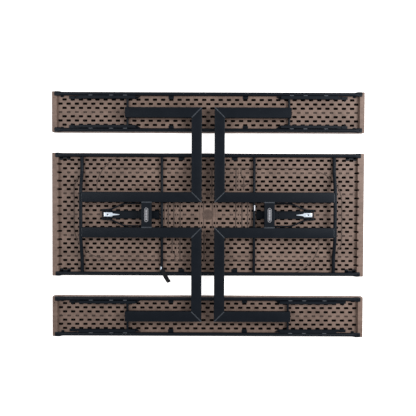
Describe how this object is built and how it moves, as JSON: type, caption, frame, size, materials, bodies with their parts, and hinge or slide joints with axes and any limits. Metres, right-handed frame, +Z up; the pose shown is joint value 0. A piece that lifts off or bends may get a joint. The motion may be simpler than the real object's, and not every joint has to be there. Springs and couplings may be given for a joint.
{
  "type": "folding picnic table",
  "caption": "Folding picnic table with two attached benches: moulded plastic boards on rectangular-tube leg frames that swing out together, shown folded flat, underside up.",
  "frame": {"origin": "middle of the tabletop's upper face, on the floor, with the table folded flat and lying face down", "axes": "+X along the boards' length, +Y across the boards from the front bench to the rear bench, +Z up out of the underside"},
  "size_m": [1.83, 1.44, 0.0851],
  "materials": {
    "moulding": "blow-moulded polyethylene, taupe brown, fine satin grain",
    "powder_coat": "semi-gloss near-black powder coat",
    "zinc": "bright zinc plate with soft spangle",
    "nylon": "black moulded nylon",
    "webbing": "black woven polypropylene webbing",
    "badge_foil": "plain pale foil plate, no lettering"
  },
  "bodies": {
    "table": {"tabletop": "moulding", "storage_strap": "webbing", "rear_table_rail": "powder_coat", "front_table_rail": "powder_coat", "right_inner_cross_tube": "powder_coat", "left_inner_cross_tube": "powder_coat", "right_rear_pivot_pin": "zinc", "right_front_pivot_pin": "zinc", "left_rear_pivot_pin": "zinc", "left_front_pivot_pin": "zinc"},
    "right_leg": {"right_pivot_tube": "powder_coat", "right_bridge": "powder_coat", "right_badge": "badge_foil", "right_rear_table_leg": "powder_coat", "right_rear_floor_rail": "powder_coat", "right_rear_bench_leg": "powder_coat", "right_rear_bench_cross_tube": "powder_coat", "right_front_table_leg": "powder_coat", "right_front_floor_rail": "powder_coat", "right_front_bench_leg": "powder_coat", "right_front_bench_cross_tube": "powder_coat"},
    "right_glides": {"right_rear_outer_glide": "nylon", "right_rear_inner_glide": "nylon", "right_front_outer_glide": "nylon", "right_front_inner_glide": "nylon"},
    "right_arm": {"right_brace_arm": "powder_coat"},
    "right_wishbone": {"right_wishbone": "powder_coat"},
    "right_lock": {"right_lock_lever": "zinc"},
    "left_leg": {"left_pivot_tube": "powder_coat", "left_bridge": "powder_coat", "left_badge": "badge_foil", "left_rear_table_leg": "powder_coat", "left_rear_floor_rail": "powder_coat", "left_rear_bench_leg": "powder_coat", "left_rear_bench_cross_tube": "powder_coat", "left_front_table_leg": "powder_coat", "left_front_floor_rail": "powder_coat", "left_front_bench_leg": "powder_coat", "left_front_bench_cross_tube": "powder_coat"},
    "left_glides": {"left_rear_outer_glide": "nylon", "left_rear_inner_glide": "nylon", "left_front_outer_glide": "nylon", "left_front_inner_glide": "nylon"},
    "left_arm": {"left_brace_arm": "powder_coat"},
    "left_wishbone": {"left_wishbone": "powder_coat"},
    "left_lock": {"left_lock_lever": "zinc"},
    "rear_bench": {"rear_seat": "moulding", "rear_seat_outer_rail": "powder_coat", "rear_seat_inner_rail": "powder_coat", "right_rear_outer_track": "powder_coat", "right_rear_inner_track": "powder_coat", "left_rear_outer_track": "powder_coat", "left_rear_inner_track": "powder_coat"},
    "front_bench": {"front_seat": "moulding", "front_seat_outer_rail": "powder_coat", "front_seat_inner_rail": "powder_coat", "right_front_outer_track": "powder_coat", "right_front_inner_track": "powder_coat", "left_front_outer_track": "powder_coat", "left_front_inner_track": "powder_coat"}
  },
  "joints": [
    {"name": "left_leg_fold", "type": "hinge", "parent": "table", "child": "left_leg", "pos_m": [-0.74, 0, 0.0393], "axis": [0, -1, 0], "range_deg": [0, 90]},
    {"name": "left_glides_turn", "type": "hinge", "parent": "left_leg", "child": "left_glides", "pos_m": [-0.473, 0, 0.0393], "axis": [0, -1, 0], "range_deg": [-90, 0]},
    {"name": "left_arm_turn", "type": "hinge", "parent": "table", "child": "left_arm", "pos_m": [-0.271, 0, 0.0393], "axis": [0, 1, 0], "range_deg": [0, 38.88]},
    {"name": "left_wishbone_turn", "type": "hinge", "parent": "left_leg", "child": "left_wishbone", "pos_m": [-0.355, 0, 0.0486], "axis": [0, -1, 0], "range_deg": [0, 49.21]},
    {"name": "left_lock_lift", "type": "hinge", "parent": "left_arm", "child": "left_lock", "pos_m": [-0.607, 0, 0.037], "axis": [0, -1, 0], "range_deg": [0, 18], "stiffness_Nm_per_rad": 0.4},
    {"name": "right_leg_fold", "type": "hinge", "parent": "table", "child": "right_leg", "pos_m": [0.74, 0, 0.0393], "axis": [0, 1, 0], "range_deg": [0, 90]},
    {"name": "right_glides_turn", "type": "hinge", "parent": "right_leg", "child": "right_glides", "pos_m": [0.473, 0, 0.0393], "axis": [0, 1, 0], "range_deg": [-90, 0]},
    {"name": "right_arm_turn", "type": "hinge", "parent": "table", "child": "right_arm", "pos_m": [0.271, 0, 0.0393], "axis": [0, -1, 0], "range_deg": [0, 38.88]},
    {"name": "right_wishbone_turn", "type": "hinge", "parent": "right_leg", "child": "right_wishbone", "pos_m": [0.355, 0, 0.0486], "axis": [0, 1, 0], "range_deg": [0, 49.21]},
    {"name": "right_lock_lift", "type": "hinge", "parent": "right_arm", "child": "right_lock", "pos_m": [0.607, 0, 0.037], "axis": [0, 1, 0], "range_deg": [0, 18], "stiffness_Nm_per_rad": 0.4},
    {"name": "rear_bench_slide", "type": "slide", "parent": "left_glides", "child": "rear_bench", "axis": [1, 0, 0], "range_m": [0, 0.2671]},
    {"name": "front_bench_slide", "type": "slide", "parent": "left_glides", "child": "front_bench", "axis": [1, 0, 0], "range_m": [0, 0.2671]}
  ],
  "couplings": [
    {"joint": "right_leg_fold", "follows": "left_leg_fold", "ratio": 1},
    {"joint": "left_glides_turn", "follows": "left_leg_fold", "ratio": -1},
    {"joint": "left_arm_turn", "follows": "left_leg_fold", "ratio": 0.43146},
    {"joint": "left_wishbone_turn", "follows": "left_leg_fold", "ratio": 0.5462},
    {"joint": "right_glides_turn", "follows": "left_leg_fold", "ratio": -1},
    {"joint": "right_arm_turn", "follows": "left_leg_fold", "ratio": 0.43146},
    {"joint": "right_wishbone_turn", "follows": "left_leg_fold", "ratio": 0.5462},
    {"joint": "rear_bench_slide", "follows": "left_leg_fold", "m_per_rad": 0.16998},
    {"joint": "front_bench_slide", "follows": "left_leg_fold", "m_per_rad": 0.16998}
  ]
}
